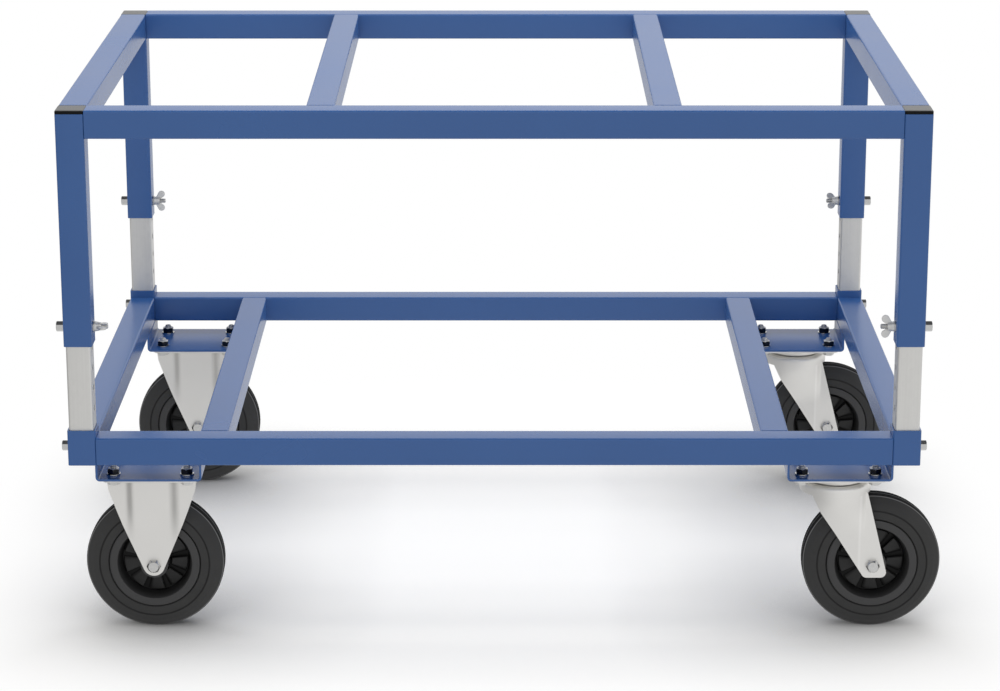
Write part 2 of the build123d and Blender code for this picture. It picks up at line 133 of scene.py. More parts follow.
class Finish:
    """The nodes of a material, or of the world, in the making."""

    def __init__(self, block):
        self.block = block
        block.use_nodes = True
        self.tree = block.node_tree
        self.tree.nodes.clear()

    def node(self, kind, settings=None, inputs=None, output=0):
        """Any node: its settings are set first, then its sockets get their values or links."""
        made = self.tree.nodes.new(kind)
        for key, value in (settings or {}).items():
            if key == "stops":
                for stop, (position, level) in zip(made.color_ramp.elements, value):
                    stop.position = position
                    stop.color = grey(level)
            else:
                setattr(made, key, value)
        for key, value in (inputs or {}).items():
            if isinstance(value, Value):
                self.tree.links.new(value.socket, made.inputs[key])
            else:
                made.inputs[key].default_value = value
        return Value(self, made.outputs[output]) if made.outputs else None

    def place(self, stretch=(1, 1, 1)):
        """A point of the surface in the piece's own coordinates, stretched along each axis."""
        point = self.node("ShaderNodeTexCoord", output="Object")
        return self.node("ShaderNodeVectorMath", {"operation": "MULTIPLY"}, {0: point, 1: stretch})

    def split(self, vector):
        """The X part of a vector. The same node's other outputs are its Y and Z."""
        return self.node("ShaderNodeSeparateXYZ", inputs={0: vector})

    def noise(self, scale, stretch=(1, 1, 1), detail=2.0):
        inputs = {"Vector": self.place(stretch), "Scale": scale, "Detail": detail}
        return self.node("ShaderNodeTexNoise", inputs=inputs)

    def number(self, name):
        """A number that each point of the mesh carries."""
        return self.node("ShaderNodeAttribute", {"attribute_name": name}, output="Fac")

    def ramp(self, value, low, high, unit=None):
        """Spread what lies between low and high over 0 to 1.

        A ramp's own stops lie between 0 and 1, so a length is counted in a unit of its size first.
        """
        if unit:
            value = value * (1 / unit)
            low = low / unit
            high = high / unit
        stops = ((low, 0.0), (high, 1.0))
        return self.node("ShaderNodeValToRGB", {"stops": stops}, {0: value})

    def lying(self):
        """1 where a face of the piece looks up, and 0 where it stands."""
        normal = self.node("ShaderNodeTexCoord", output="Normal")
        return self.ramp(self.split(normal).other("Z"), 0.3, 0.7)

    def mix(self, factor, first, second):
        """A colour between two colours."""
        settings = {"data_type": "RGBA"}
        return self.node("ShaderNodeMix", settings, {0: factor, 6: first, 7: second}, output=2)

    def bump(self, height, strength, distance):
        inputs = {"Height": height, "Strength": strength, "Distance": distance}
        return self.node("ShaderNodeBump", inputs=inputs)

    def surface(self, **sockets):
        """End in one Principled shader. Underscores in a socket's name stand for spaces."""
        inputs = {name.replace("_", " "): value for name, value in sockets.items()}
        shader = self.node("ShaderNodeBsdfPrincipled", inputs=inputs)
        self.node("ShaderNodeOutputMaterial", inputs={"Surface": shader})
        return self.block


def finish(name):
    """A new material without nodes."""
    return Finish(bpy.data.materials.new(name))


finishes = {}
print("to make:", ", ".join(sorted(set(slot_of.values()))))

# %% [markdown]
# ## Powder coat
# Both frames and the caster brackets have one blue powder coat. Close up it has the fine ripple
# of all powder coats, and it is a satin, so that it only reflects much at a flat angle, as on
# the tops of the rails. The ripple could be modelled, but it is only a tenth of a millimetre
# deep, so a bump from fine noise is enough. A slow noise lets the blue vary a little.

# %% Blue powder coat
coat = finish("blue_powder_coat")
cloud = coat.noise(5, detail=3)
ripple = coat.noise(700, detail=1)
deep_blue = (0.032, 0.115, 0.350, 1)
clear_blue = (0.041, 0.140, 0.412, 1)
finishes["blue_powder_coat"] = coat.surface(
    Base_Color=coat.mix(cloud, deep_blue, clear_blue),
    Roughness=0.22 + 0.08 * cloud,
    Normal=coat.bump(ripple, strength=0.12, distance=0.1 * mm),
    IOR=1.55,
)
print("made", coat.block.name)

# %% [markdown]
# ## Zinc and steel
# The telescopic legs are galvanised tube, with faint crystals and drawing marks along the tube.
# The forks and plates are zinc-plated sheet. Its colour carries painted shade on the flanks of a
# raised panel and a painted highlight along a crease. A painted picture could say where that is,
# but the pieces have no unwrapped surface to paint on. So each point of the mesh carries two numbers,
# `rubbed` and `pressed`.
#
# Leg screws, clamp bolts, axle bolts and washers are bright zinc, while caster bolts and wing
# nuts are a duller satin. The caster nuts get painted reflections: their flats are coloured nearly
# black for a dark reflection, and their tops nearly white as a painted highlight, which the
# direction of a face tells apart. Bearings, sleeves and king pins are ground steel.

# %% Galvanised tube
galvanised = finish("galvanised_tube")
cells = {"Vector": galvanised.place((1, 1, 0.6)), "Scale": 160}
crystals = galvanised.node("ShaderNodeTexVoronoi", inputs=cells, output="Color")
crystal = galvanised.node("ShaderNodeSeparateColor", inputs={0: crystals})
drawn = galvanised.noise(420, (1, 1, 0.01))
tone = 0.35 * crystal + 0.65 * drawn
finishes["galvanised_tube"] = galvanised.surface(
    Base_Color=galvanised.mix(tone, (0.69, 0.685, 0.665, 1), (0.80, 0.795, 0.775, 1)),
    Roughness=0.42 + 0.14 * crystal,
    Normal=galvanised.bump(drawn, strength=0.08, distance=0.05 * mm),
    Metallic=0.9,
)
print("made", galvanised.block.name)

# %% Zinc-plated sheet
sheet = finish("zinc_sheet")
blotch = sheet.noise(14, detail=4)
rolled = sheet.noise(900, (0.05, 1, 1))
plated = sheet.mix(blotch, (0.82, 0.81, 0.785, 1), (0.89, 0.88, 0.855, 1))
# Painted shade: the sheet's colour turns darker on the flanks of a raised panel.
plated_with_painted_shade = sheet.mix(0.62 * sheet.number("pressed"), plated, (0.25, 0.245, 0.235, 1))
finishes["zinc_sheet"] = sheet.surface(
    # Painted highlight: the sheet's colour turns lighter along a crease.
    Base_Color=sheet.mix(0.8 * sheet.number("rubbed"), plated_with_painted_shade, (0.95, 0.94, 0.92, 1)),
    Roughness=0.38 + 0.1 * blotch + 0.06 * rolled,
    Normal=sheet.bump(rolled, strength=0.06, distance=0.04 * mm),
    Metallic=0.9,
)
print("made", sheet.block.name)


# %% Bright and satin fasteners
def fastener_zinc(name, dark, light, smoothest, metallic):
    """Zinc plate with fine specks, rougher where a speck is light."""
    zinc = finish(name)
    speck = zinc.noise(260, detail=3)
    return zinc.surface(
        Base_Color=zinc.mix(speck, dark, light),
        Roughness=smoothest + 0.14 * speck,
        Normal=zinc.bump(speck, strength=0.08, distance=0.06 * mm),
        Metallic=metallic,
    )


bright_dark = (0.56, 0.56, 0.555, 1)
bright_light = (0.70, 0.70, 0.69, 1)
satin_dark = (0.66, 0.66, 0.65, 1)
satin_light = (0.80, 0.80, 0.79, 1)
finishes["bright_zinc"] = fastener_zinc("bright_zinc", bright_dark, bright_light, 0.16, 1.0)
finishes["satin_zinc"] = fastener_zinc("satin_zinc", satin_dark, satin_light, 0.34, 0.6)
print("made bright_zinc and satin_zinc")

# %% Nuts with painted reflections, and ground steel
painted_nut = finish("nut_with_painted_reflections")
painted_top_highlight = painted_nut.lying()
oil = painted_nut.noise(300, detail=3)
painted_dark_reflection = painted_nut.mix(oil, (0.035, 0.035, 0.036, 1), (0.075, 0.075, 0.076, 1))
finishes["nut_with_painted_reflections"] = painted_nut.surface(
    # Painted reflection: the flats are nearly black, and faces that look up are nearly white as a
    # painted highlight.
    Base_Color=painted_nut.mix(painted_top_highlight, painted_dark_reflection, (0.88, 0.88, 0.87, 1)),
    Roughness=0.14 + 0.12 * oil + 0.2 * painted_top_highlight,
    Metallic=1 - 0.55 * painted_top_highlight,
)
ground = finish("bearing_steel")
scratch = ground.noise(600, (1, 0.05, 1))
finishes["bearing_steel"] = ground.surface(
    Base_Color=ground.mix(scratch, (0.46, 0.46, 0.47, 1), (0.60, 0.60, 0.61, 1)),
    Roughness=0.22 + 0.14 * scratch,
    Metallic=1.0,
)
print("made", painted_nut.block.name, "and", ground.block.name)

# %% [markdown]
# ## Rubber and plastic
# The tyres are solid black rubber, dull, with a grey bloom and the faint rings that a turned mould
# leaves. Their colour also has painted shade in a dark line where the side steps back, and a
# painted highlight at the tread's edge and along its middle. The rings could be cut into the mesh,
# but most are finer than its faces. A wheel's own origin is on its axle, so they follow from the
# distance to its Y axis instead.
#
# The rims and the caps in the post ends are moulded plastic, a little glossier. The grooves in a
# rim and the standing faces of a cap get painted shade: their colour is made nearly black.

# %% Black rubber
tread_start = 98.5 * mm
tread_full = 98.9 * mm
highlight_radius = 98.6 * mm
step_shade_radius = 79.4 * mm
mould_ring = 1.6 * mm
rubber = finish("black_rubber")
along = rubber.split(rubber.place())
sideward = along.other("Y")
upward = along.other("Z")
radius = (along * along + upward * upward).math("SQRT")
turning = (radius * (2 * pi / mould_ring)).math("SINE")
bloom = rubber.noise(30, detail=4)
grain = rubber.noise(1100, detail=2)


def line_at(value, centre, half_width):
    """A line where a value is near its centre, fading to both sides."""
    off_centre = (value - centre).math("ABSOLUTE")
    return 1 - rubber.ramp(off_centre, 0.3 * half_width, half_width, unit=half_width)


rolling = rubber.ramp(radius, tread_start, tread_full, unit=100 * mm)
parting_line_highlight = line_at(sideward, 0, 0.9 * mm) * rolling
painted_edge_highlights = line_at(radius, highlight_radius, 0.8 * mm).math("MAXIMUM", parting_line_highlight)
side_grey = rubber.mix(bloom, grey(0.043), grey(0.064))
# Painted shade: a dark line where the side steps back.
side_with_painted_step_shade = rubber.mix(0.85 * line_at(radius, step_shade_radius, 1.8 * mm), side_grey, grey(0.010))
dark_tread = rubber.mix(rolling, side_with_painted_step_shade, grey(0.006))
finishes["black_rubber"] = rubber.surface(
    # Painted highlights: light grey lines at the tread's edge and along the parting line.
    Base_Color=rubber.mix(painted_edge_highlights, dark_tread, grey(0.22)),
    Roughness=0.60 + 0.16 * bloom + 0.24 * rolling,
    Normal=rubber.bump(grain + 0.5 * turning, strength=0.12, distance=0.08 * mm),
    Specular_IOR_Level=0.25,
)
print("made", rubber.block.name)

# %% Black rims
moulded = finish("black_rim")
spark = moulded.noise(1500, detail=1)
patch = moulded.noise(25, detail=3)
from_web = moulded.split(moulded.place()).other("Y").math("ABSOLUTE")
out_of_painted_groove_shade = moulded.ramp(from_web, 1.4 * mm, 3.4 * mm, unit=10 * mm)
on_ring = moulded.ramp(from_web, 10 * mm, 22 * mm, unit=25 * mm)
panel_black = moulded.mix(patch, grey(0.010), grey(0.020))
ring_black = moulded.mix(patch, (0.040, 0.040, 0.041, 1), (0.054, 0.054, 0.055, 1))
# Painted shade: the panels, deep in the rim, are coloured darker than its ring.
rim_black_beside_grooves = moulded.mix(on_ring, panel_black, ring_black)
finishes["black_rim"] = moulded.surface(
    # Painted shade: the floor of each groove is coloured nearly black.
    Base_Color=moulded.mix(out_of_painted_groove_shade, grey(0.004), rim_black_beside_grooves),
    Metallic=0.62 * (1 - out_of_painted_groove_shade),
    Roughness=0.42 + 0.12 * patch,
    Normal=moulded.bump(spark, strength=0.15, distance=0.06 * mm),
)
print("made", moulded.block.name)

# %% Black caps
cap = finish("black_cap")
leather = cap.noise(1300, detail=2)
cap_top_without_painted_shade = cap.lying()
cap_black = cap.mix(leather, (0.014, 0.014, 0.013, 1), (0.024, 0.024, 0.022, 1))
finishes["black_cap"] = cap.surface(
    # Painted shade: the standing faces of a cap are coloured nearly black.
    Base_Color=cap.mix(cap_top_without_painted_shade, grey(0.004), cap_black),
    Metallic=0.85 * (1 - cap_top_without_painted_shade),
    Roughness=0.24 + 0.08 * leather,
    Normal=cap.bump(leather, strength=0.1, distance=0.05 * mm),
    IOR=1.7,
)
for node, slot in slot_of.items():
    frame["nodes"][node].data.materials.clear()
    frame["nodes"][node].data.materials.append(finishes[slot])
print(len(finishes), "finishes for", len(slot_of), "nodes")

# %% [markdown]
# ## From mesh to piece
# A CAD mesh could be edited where it is, but it has to stay as packed, because the motion is
# worked out with it. So every finer piece is a new object that takes the place of a CAD node,
# rides on that node's body and gets the finish of that node's slot, unless another look is named.
# Smooth shading with sharp edges above a set angle makes turned faces round and leaves crisp edges
# crisp.

# %% Pieces that replace nodes
weld = 1e-6


def piece(node, bm, origin=Vector(), crisp=32, look=None):
    """Turn a bmesh, drawn about an origin, into the piece that stands for a node."""
    bmesh.ops.remove_doubles(bm, verts=bm.verts, dist=weld)
    bmesh.ops.recalc_face_normals(bm, faces=bm.faces)
    mesh = bpy.data.meshes.new(node + "_piece")
    bm.to_mesh(mesh)
    bm.free()
    mesh.shade_smooth()
    mesh.set_sharp_from_angle(angle=radians(crisp))
    mesh.materials.append(finishes[look or slot_of[node]])
    made = bpy.data.objects.new(node + "_piece", mesh)
    made.location = origin
    scene.collection.objects.link(made)
    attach(made, body_of[node])
    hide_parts(node)
    return made


print("points nearer than", weld, "m become one")

# %% [markdown]
# ## Tubes and brackets
# The CAD shape of the tubes, sockets and brackets is right, but its edges are knife sharp. Each
# gets a copy with a small bevel. Merging the flat triangles first leaves the bevel clean edges to
# work on. A bump could only fake the edge in the shading, and would be lost on the outline.


# %% Copies with broken edges
def copy_of(node):
    """The CAD shape of a node, with its faces joined."""
    bm = bmesh.new()
    bm.from_mesh(frame["nodes"][node].data)
    bmesh.ops.remove_doubles(bm, verts=bm.verts, dist=weld)
    return bm


def break_edges(made, width, sharper_than):
    """Round the edges of a piece that turn by more than an angle."""
    bevel = made.modifiers.new("broken_edge", "BEVEL")
    bevel.width = width
    bevel.segments = 2
    bevel.limit_method = "ANGLE"
    bevel.angle_limit = radians(sharper_than)


tube_edge = 0.5 * mm
tube_angle = 50
print("edges broken by", round(1000 * tube_edge, 1), "mm")

# %% Tubes, sockets, brackets and plates
rails = [node for node in slot_of if node.endswith(("_rail", "_cross_member"))]
tubes = rails + [f"{kind}_{corner}" for kind in ("leg", "post") for corner in corners]
welded = ["corner_sockets", "caster_brackets"]
plates = [f"swivel_plate_{end}" for end in ends]
for node in tubes + welded + plates:
    bm = copy_of(node)
    bmesh.ops.dissolve_limit(bm, angle_limit=radians(0.5), verts=bm.verts, edges=bm.edges)
    break_edges(piece(node, bm), tube_edge, tube_angle)
print("softened", len(tubes), "tubes")

# %% [markdown]
# ## Outlines
# Moulded pieces and plates are drawn as outlines with a rounding at each corner. The same outline
# at several heights, drawn in a little at the top and the bottom, makes a plate with broken
# edges. A cube with a bevel would be quicker, but every edge would then have the same rounding.


# %% Rounded and stacked shapes
def rounded(outline, steps=4):
    """Points of a closed outline whose corners are (x, y, rounding)."""
    points = []
    for k, (x, y, rounding) in enumerate(outline):
        here = Vector((x, y))
        before = Vector(outline[k - 1][:2]) - here
        after = Vector(outline[(k + 1) % len(outline)][:2]) - here
        reach = rounding / tan(before.angle(after) / 2)
        reach = min(reach, before.length / 2, after.length / 2)
        start = here + before.normalized() * reach
        end = here + after.normalized() * reach
        share = [s / steps for s in range(steps + 1)] if rounding else [0]
        points += [start * (1 - t) ** 2 + here * (2 * t * (1 - t)) + end * t**2 for t in share]
    return points


def band(bm, first, second):
    """Faces between two closed loops of as many vertices."""
    for k in range(len(first)):
        bm.faces.new((first[k - 1], first[k], second[k], second[k - 1]))


def stack(bm, layers, place):
    """Join loops of (x, y, z) points into one closed solid."""
    loops = [[bm.verts.new(place @ Vector(p)) for p in layer] for layer in layers]
    for below, above in zip(loops, loops[1:]):
        band(bm, below, above)
    bm.faces.new(loops[0])
    bm.faces.new(loops[-1])


least_rounding = 0.1 * mm


def rounded_plate(bm, width, depth, corner, levels, place):
    """A plate with rounded corners; each level is (height, how far it is drawn in)."""
    layers = []
    for height, inset in levels:
        x = width / 2 - inset
        y = depth / 2 - inset
        rounding = max(corner - inset, least_rounding)
        outline = [(x, -y, rounding), (x, y, rounding), (-x, y, rounding), (-x, -y, rounding)]
        layers.append([(px, py, height) for px, py in rounded(outline)])
    stack(bm, layers, place)


print(len(rounded([(0, 0, 1), (9, 0, 1), (9, 9, 1), (0, 9, 1)])), "points round a square")

# %% [markdown]
# ## End caps
# A moulded cap closes each post. It has a slightly domed top with a round edge, and its wall
# stands flush with the tube. A bevel would leave the top flat, so the cap is stacked from
# outlines, each a little higher and drawn in a little further than the last. All four caps are
# one node. Its solids are told apart by walking along their edges, and so are those of the
# bolts, nuts and washers further on.


# %% Separate solids
def middle(box):
    """The centre of a box, from its lowest and highest corners."""
    return (box[0] + box[1]) / 2


def solids(node):
    """Lowest and highest corner of each separate solid of a node, in order of their places."""
    bm = copy_of(node)
    left = set(bm.verts)
    found = []
    while left:
        front = [left.pop()]
        reached = list(front)
        while front:
            near = {edge.other_vert(v) for v in front for edge in v.link_edges} & left
            left -= near
            front = list(near)
            reached += front
        spans = [[v.co[axis] for v in reached] for axis in range(3)]
        found.append((Vector([min(s) for s in spans]), Vector([max(s) for s in spans])))
    bm.free()
    return sorted(found, key=lambda box: box[0][:])


print(len(solids("end_caps")), "end caps")

# %% End caps
cap_height = 5 * mm
cap_corner = 3 * mm
plug_gap = 4.4 * mm
cap_levels = [(0, 0.2 * mm), (0.3 * mm, 0), (3.4 * mm, 0), (4.3 * mm, 0.35 * mm)]
cap_levels += [(4.8 * mm, 1.1 * mm), (4.95 * mm, 3 * mm), (cap_height, 8 * mm)]
plug_levels = [(-12 * mm, 0.6 * mm), (-11 * mm, 0), (0, 0)]
bm = bmesh.new()
for low, high in solids("end_caps"):
    width = high.x - low.x
    centre = middle((low, high))
    seat = Matrix.Translation((centre.x, centre.y, high.z - cap_height))
    rounded_plate(bm, width, width, cap_corner, cap_levels, seat)
    rounded_plate(bm, width - plug_gap, width - plug_gap, cap_corner, plug_levels, seat)
piece("end_caps", bm, crisp=50)
print("caps", round(1000 * width), "mm wide")

# %% [markdown]
# ## Tyres
# Each tyre is one turned ring of solid rubber. Next to the rim its side is flat. Then the side
# slopes back to a narrow tread with a rounded edge, and a fine ridge in the middle where the
# halves of the mould met; both get a painted highlight. A torus would be rounder than the real
# tyre, so an outline of radius and height is swept round the axle. Half of it is drawn, and the
# other half mirrors it.


# %% Turned shapes
def both_sides(half):
    """A closed outline from the half of it that lies above the middle."""
    return half + [(r, -h, rounding) for r, h, rounding in reversed(half)]


def turn(bm, outline, place, steps):
    """Sweep a closed outline of (radius, height) points round the Z axis of a place."""
    loops = []
    for k in range(steps):
        spin = place @ Matrix.Rotation(2 * pi * k / steps, 4, "Z")
        loops.append([bm.verts.new(spin @ Vector((r, 0, h))) for r, h in outline])
    for k in range(steps):
        band(bm, loops[k - 1], loops[k])


def pointing(direction, corner, at):
    """Place at a point, with Z along a direction and X along another at right angles to it."""
    z = Vector(direction)
    x = Vector(corner)
    turned = Matrix((x, z.cross(x), z)).transposed().to_4x4()
    return Matrix.Translation(at) @ turned


upright = pointing((0, 1, 0), (1, 0, 0), (0, 0, 0))
wheel_steps = 96
print("wheels are turned in", wheel_steps, "steps")

# %% Tyres
tyre_bore = 65.5 * mm
tread_half = 11 * mm
for corner in corners:
    low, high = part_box(f"tyre_{corner}")
    tread = (high.z - low.z) / 2
    edge = (high.y - low.y) / 2
    half = [
        (tyre_bore, edge - 5 * mm, 0.5 * mm),
        (tyre_bore + 2 * mm, edge - 0.8 * mm, 1.4 * mm),
        (tread - 21.6 * mm, edge - 0.8 * mm, 0.6 * mm),
        (tread - 20.6 * mm, edge, 0.8 * mm),
        (tread - 10 * mm, (edge + tread_half) / 2 + 0.9 * mm, 9 * mm),
        (tread - 1.5 * mm, tread_half + 0.8 * mm, 0.5 * mm),
        (tread - 0.2 * mm, tread_half, 0.5 * mm),
        (tread - 0.2 * mm, 0.8 * mm, 0.2 * mm),
        (tread, 0.4 * mm, 0.1 * mm),
    ]
    bm = bmesh.new()
    turn(bm, rounded(both_sides(half)), upright, wheel_steps)
    piece(f"tyre_{corner}", bm, middle((low, high)))
print("tyre", round(2000 * tread), "mm across,", round(2000 * edge), "mm wide")

# %% [markdown]
# ## Rims
# The moulded rim is a ring, a thin web in its middle and a hub. Its ring tapers to the web, as a
# mould needs. Nine fan-shaped panels stand on each side of the web, each tilted a little, with
# a narrow groove to the next. The grooves could be a bump, but they are deep enough to hide part
# of their own floor, so each panel is a small solid of its own.


# %% Rim panels
panel_count = 9
panel_span = radians(30.5)
panel_inner = 23 * mm
panel_outer = 46.5 * mm
panel_low = 2 * mm
panel_high = 6.5 * mm
panel_edge = 0.9 * mm
panel_steps = 6


def fan_panel(bm, start, place):
    """One tilted panel between two radii; its top rises from low to high across its span."""
    arc = [start + panel_span * k / panel_steps for k in range(panel_steps + 1)]
    centre = panel_span / 2

    def loop(inset, drop):
        points = []
        for r, angles in ((panel_outer - inset, arc), (panel_inner + inset, arc[::-1])):
            narrower = 1 - 2 * inset / (r * panel_span)
            for angle in angles:
                turned = start + centre + (angle - start - centre) * narrower
                rise = (panel_high - panel_low) * (angle - start) / panel_span
                points.append((r * cos(turned), r * sin(turned), panel_low + rise - drop))
        return points

    foot = [(x, y, 0) for x, y, z in loop(0, 0)]
    stack(bm, [foot, loop(0, panel_edge), loop(panel_edge, 0)], place)


print(panel_count, "panels on each side of a rim")

# %% Rims
rim_lip = 24 * mm
rim_web = 1 * mm
ring_inside = 54 * mm
for corner in corners:
    low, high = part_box(f"rim_{corner}")
    hub = (high.y - low.y) / 2
    half = [
        (tyre_bore, rim_lip, 2.2 * mm),
        (ring_inside, rim_lip, 1.8 * mm),
        (48.5 * mm, rim_web, 2 * mm),
        (21 * mm, rim_web, 2.5 * mm),
        (20 * mm, hub, 1 * mm),
        (15 * mm, hub, 0.4 * mm),
    ]
    bm = bmesh.new()
    turn(bm, rounded(both_sides(half)), upright, wheel_steps)
    for facing in (1, -1):
        face = pointing((0, facing, 0), (1, 0, 0), (0, 0, 0))
        for k in range(panel_count):
            start = 2 * pi * k / panel_count + facing * pi / 2 - panel_span / 2
            fan_panel(bm, start, face)
    piece(f"rim_{corner}", bm, middle((low, high)))
print("rim", round(2000 * hub), "mm wide at its hub")

# %% [markdown]
# ## Fixed forks
# A fixed fork has two pressed legs under a flat plate. Each leg tapers to a round tip and has a
# raised middle panel with soft flanks, whose colour carries painted shade. Subdivision could round a
# coarse shape into this, but then nothing would have a set size. So a leg is a grid of points:
# its outline gives the width at each height, and a formula says how far out the sheet lies.


# %% Widths and heights of a leg
def smooth(t):
    """A soft step from 0 to 1."""
    t = min(max(t, 0), 1)
    return t * t * (3 - 2 * t)


def widest(points, height):
    """How far a convex outline of (reach, height) points reaches at a height."""
    found = []
    for r, h in points:
        for q, g in points:
            if h <= height <= g and g > h:
                found.append(r + (q - r) * (height - h) / (g - h))
    return max(found)


def round_tip(across, height, tip, steps=24):
    """Points of a half circle for an outline, from its lowest point to its highest."""
    turns = [pi * k / steps - pi / 2 for k in range(steps + 1)]
    return [(across + tip * cos(t), height + tip * sin(t)) for t in turns]


def leg_heights(bottom, tip, top, tip_step, rows):
    """Heights of a leg's rows: by even angles round its tip, then by even steps to its top."""
    angles = [radians(a) for a in range(tip_step // 2, 90, tip_step)]
    above_tip = top - bottom - tip
    round_part = [bottom + tip * (1 - cos(a)) for a in angles]
    return round_part + [bottom + tip + above_tip * k / rows for k in range(rows + 1)]


print("a soft step is", smooth(0.25), "at a quarter")


# %% Pressed sheet
def rim_of(rows):
    """The points round the edge of a grid."""
    up = [row[-1] for row in rows[1:]]
    down = [row[0] for row in rows[-2:0:-1]]
    return rows[0] + up + rows[-1][-2::-1] + down


def number_layer(bm, name):
    """One number on each point of a mesh."""
    return bm.verts.layers.float.get(name) or bm.verts.layers.float.new(name)


def pressed_leg(bm, left, right, skin, painted_light, heights, place, columns):
    """A pressed sheet between two edges, its face as far out as skin(x, z) says."""
    painted_highlight_layer = number_layer(bm, "rubbed")
    painted_shade_layer = number_layer(bm, "pressed")
    layers = []
    for inward in (0, fork_sheet):
        rows = []
        for z in heights:
            a, b = left(z), right(z)
            row = []
            for k in range(columns + 1):
                x = a + (b - a) * k / columns
                vert = bm.verts.new(place @ Vector((x, inward - skin(x, z), z)))
                # Each point carries the painted highlight and painted shade for the sheet's colour.
                vert[painted_highlight_layer], vert[painted_shade_layer] = painted_light(x, z)
                row.append(vert)
            rows.append(row)
        layers.append(rows)
        for row, above in zip(rows, rows[1:]):
            for k in range(columns):
                bm.faces.new((row[k], row[k + 1], above[k + 1], above[k]))
    front, back = layers
    band(bm, rim_of(front), rim_of(back))


fork_sheet = 3.5 * mm
sheet_edge = 0.7 * mm
sheet_angle = 55
leg_face = 34 * mm
print("sheet of", round(1000 * fork_sheet, 1), "mm")

# %% Raised panel of a fixed fork
raised_by = 3.5 * mm
raised_half = 27 * mm
flank_width = 10 * mm
raised_end = 145 * mm
raised_full = 205 * mm
# The band of painted shade along each flank of the panel.
shade_band_half = 9 * mm
shade_band_end = 125 * mm
shade_band_full = 190 * mm


def fixed_skin(x, z):
    """A raised middle panel with soft flanks, which run out above the tip."""
    down_flank = smooth((abs(x) - raised_half) / flank_width)
    return leg_face - raised_by * down_flank * smooth((z - raised_end) / (raised_full - raised_end))


def fixed_painted_shade(x, z):
    """Painted shade along the flanks of the panel, more on the right, and less towards the tip."""
    off_flank = abs(abs(x) - raised_half - flank_width / 2)
    painted_shade_band = smooth(1 - off_flank / shade_band_half) * (0.5 if x < 0 else 1)
    return 0, painted_shade_band * smooth((z - shade_band_end) / (shade_band_full - shade_band_end))


print("panel stands", round(1000 * raised_by, 1), "mm proud")

# %% Fixed forks
plate_thickness = 5 * mm
plate_corner = 10 * mm
plate_edge = 0.5 * mm
plate_levels = [(0, plate_edge), (plate_edge, 0)]
plate_levels += [(plate_thickness - plate_edge, 0), (plate_thickness, plate_edge)]
fixed_tip = 15.5 * mm
# Half the leg's width at depths below the plate.
fixed_widths = [(43.7 * mm, 70 * mm), (52.5 * mm, 47 * mm), (62.5 * mm, 18.5 * mm), (64.5 * mm, 0)]
for end in ends:
    low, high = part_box(f"fixed_fork_{end}")
    centre = middle((low, high))
    under_plate = high.z - plate_thickness
    outline = round_tip(0, low.z + fixed_tip, fixed_tip)
    outline += [(half, under_plate - depth) for half, depth in fixed_widths]
    heights = leg_heights(low.z, fixed_tip, under_plate, tip_step=6, rows=40)
    bm = bmesh.new()
    for facing in (0, pi):
        place = Matrix.Translation((centre.x, centre.y, 0)) @ Matrix.Rotation(facing, 4, "Z")
        pressed_leg(
            bm, lambda z: -widest(outline, z), lambda z: widest(outline, z),
            fixed_skin, fixed_painted_shade, heights, place, columns=96,
        )
    seat = Matrix.Translation((centre.x, centre.y, under_plate))
    rounded_plate(bm, high.x - low.x, high.y - low.y, plate_corner, plate_levels, seat)
    break_edges(piece(f"fixed_fork_{end}", bm), sheet_edge, sheet_angle)
print("2 fixed forks")

# %% [markdown]
# ## Swivel forks
# A swivel fork hangs from a pressed cup that turns under its plate on balls. Its legs flare out
# into the cup. Each leg has one upright crease: the strip before it is flat and carries the axle,
# and the rest is bent back a little. The same grid serves, with another formula for its face, and
# the cup is turned.

# %% Crease and flare of a swivel fork
cup_radius = 51.5 * mm
cup_bottom = 207 * mm
cup_floor = 216 * mm
cup_rim = 223.2 * mm
pin_hole = 7.1 * mm
flare_bottom = 140 * mm
flare_gap = 0.15 * mm
crease = 34 * mm
crease_round = 3 * mm
crease_slope = tan(radians(5))
# How far the painted highlight reaches to each side of the crease.
crease_highlight_width = 2.6 * mm
wheel_room = 30 * mm


def swivel_skin(x, z):
    """Flat before the crease, bent back behind it, and flared out to the cup at the top."""
    behind = crease - x
    if abs(behind) > crease_round:
        bent = max(behind, 0)
    else:
        bent = (behind + crease_round) ** 2 / (4 * crease_round)
    flat = leg_face - crease_slope * bent
    round_cup = sqrt(max((cup_radius - flare_gap) ** 2 - x * x, 0))
    flare = smooth((z - flare_bottom) / (cup_bottom - flare_bottom))
    return flat + (max(round_cup, wheel_room) - flat) * flare


def swivel_painted_highlight(x, z):
    """A painted highlight along the crease."""
    return max(1 - abs(x - crease) / crease_highlight_width, 0), 0


print("crease", round(1000 * crease), "mm from the king pin's axis")

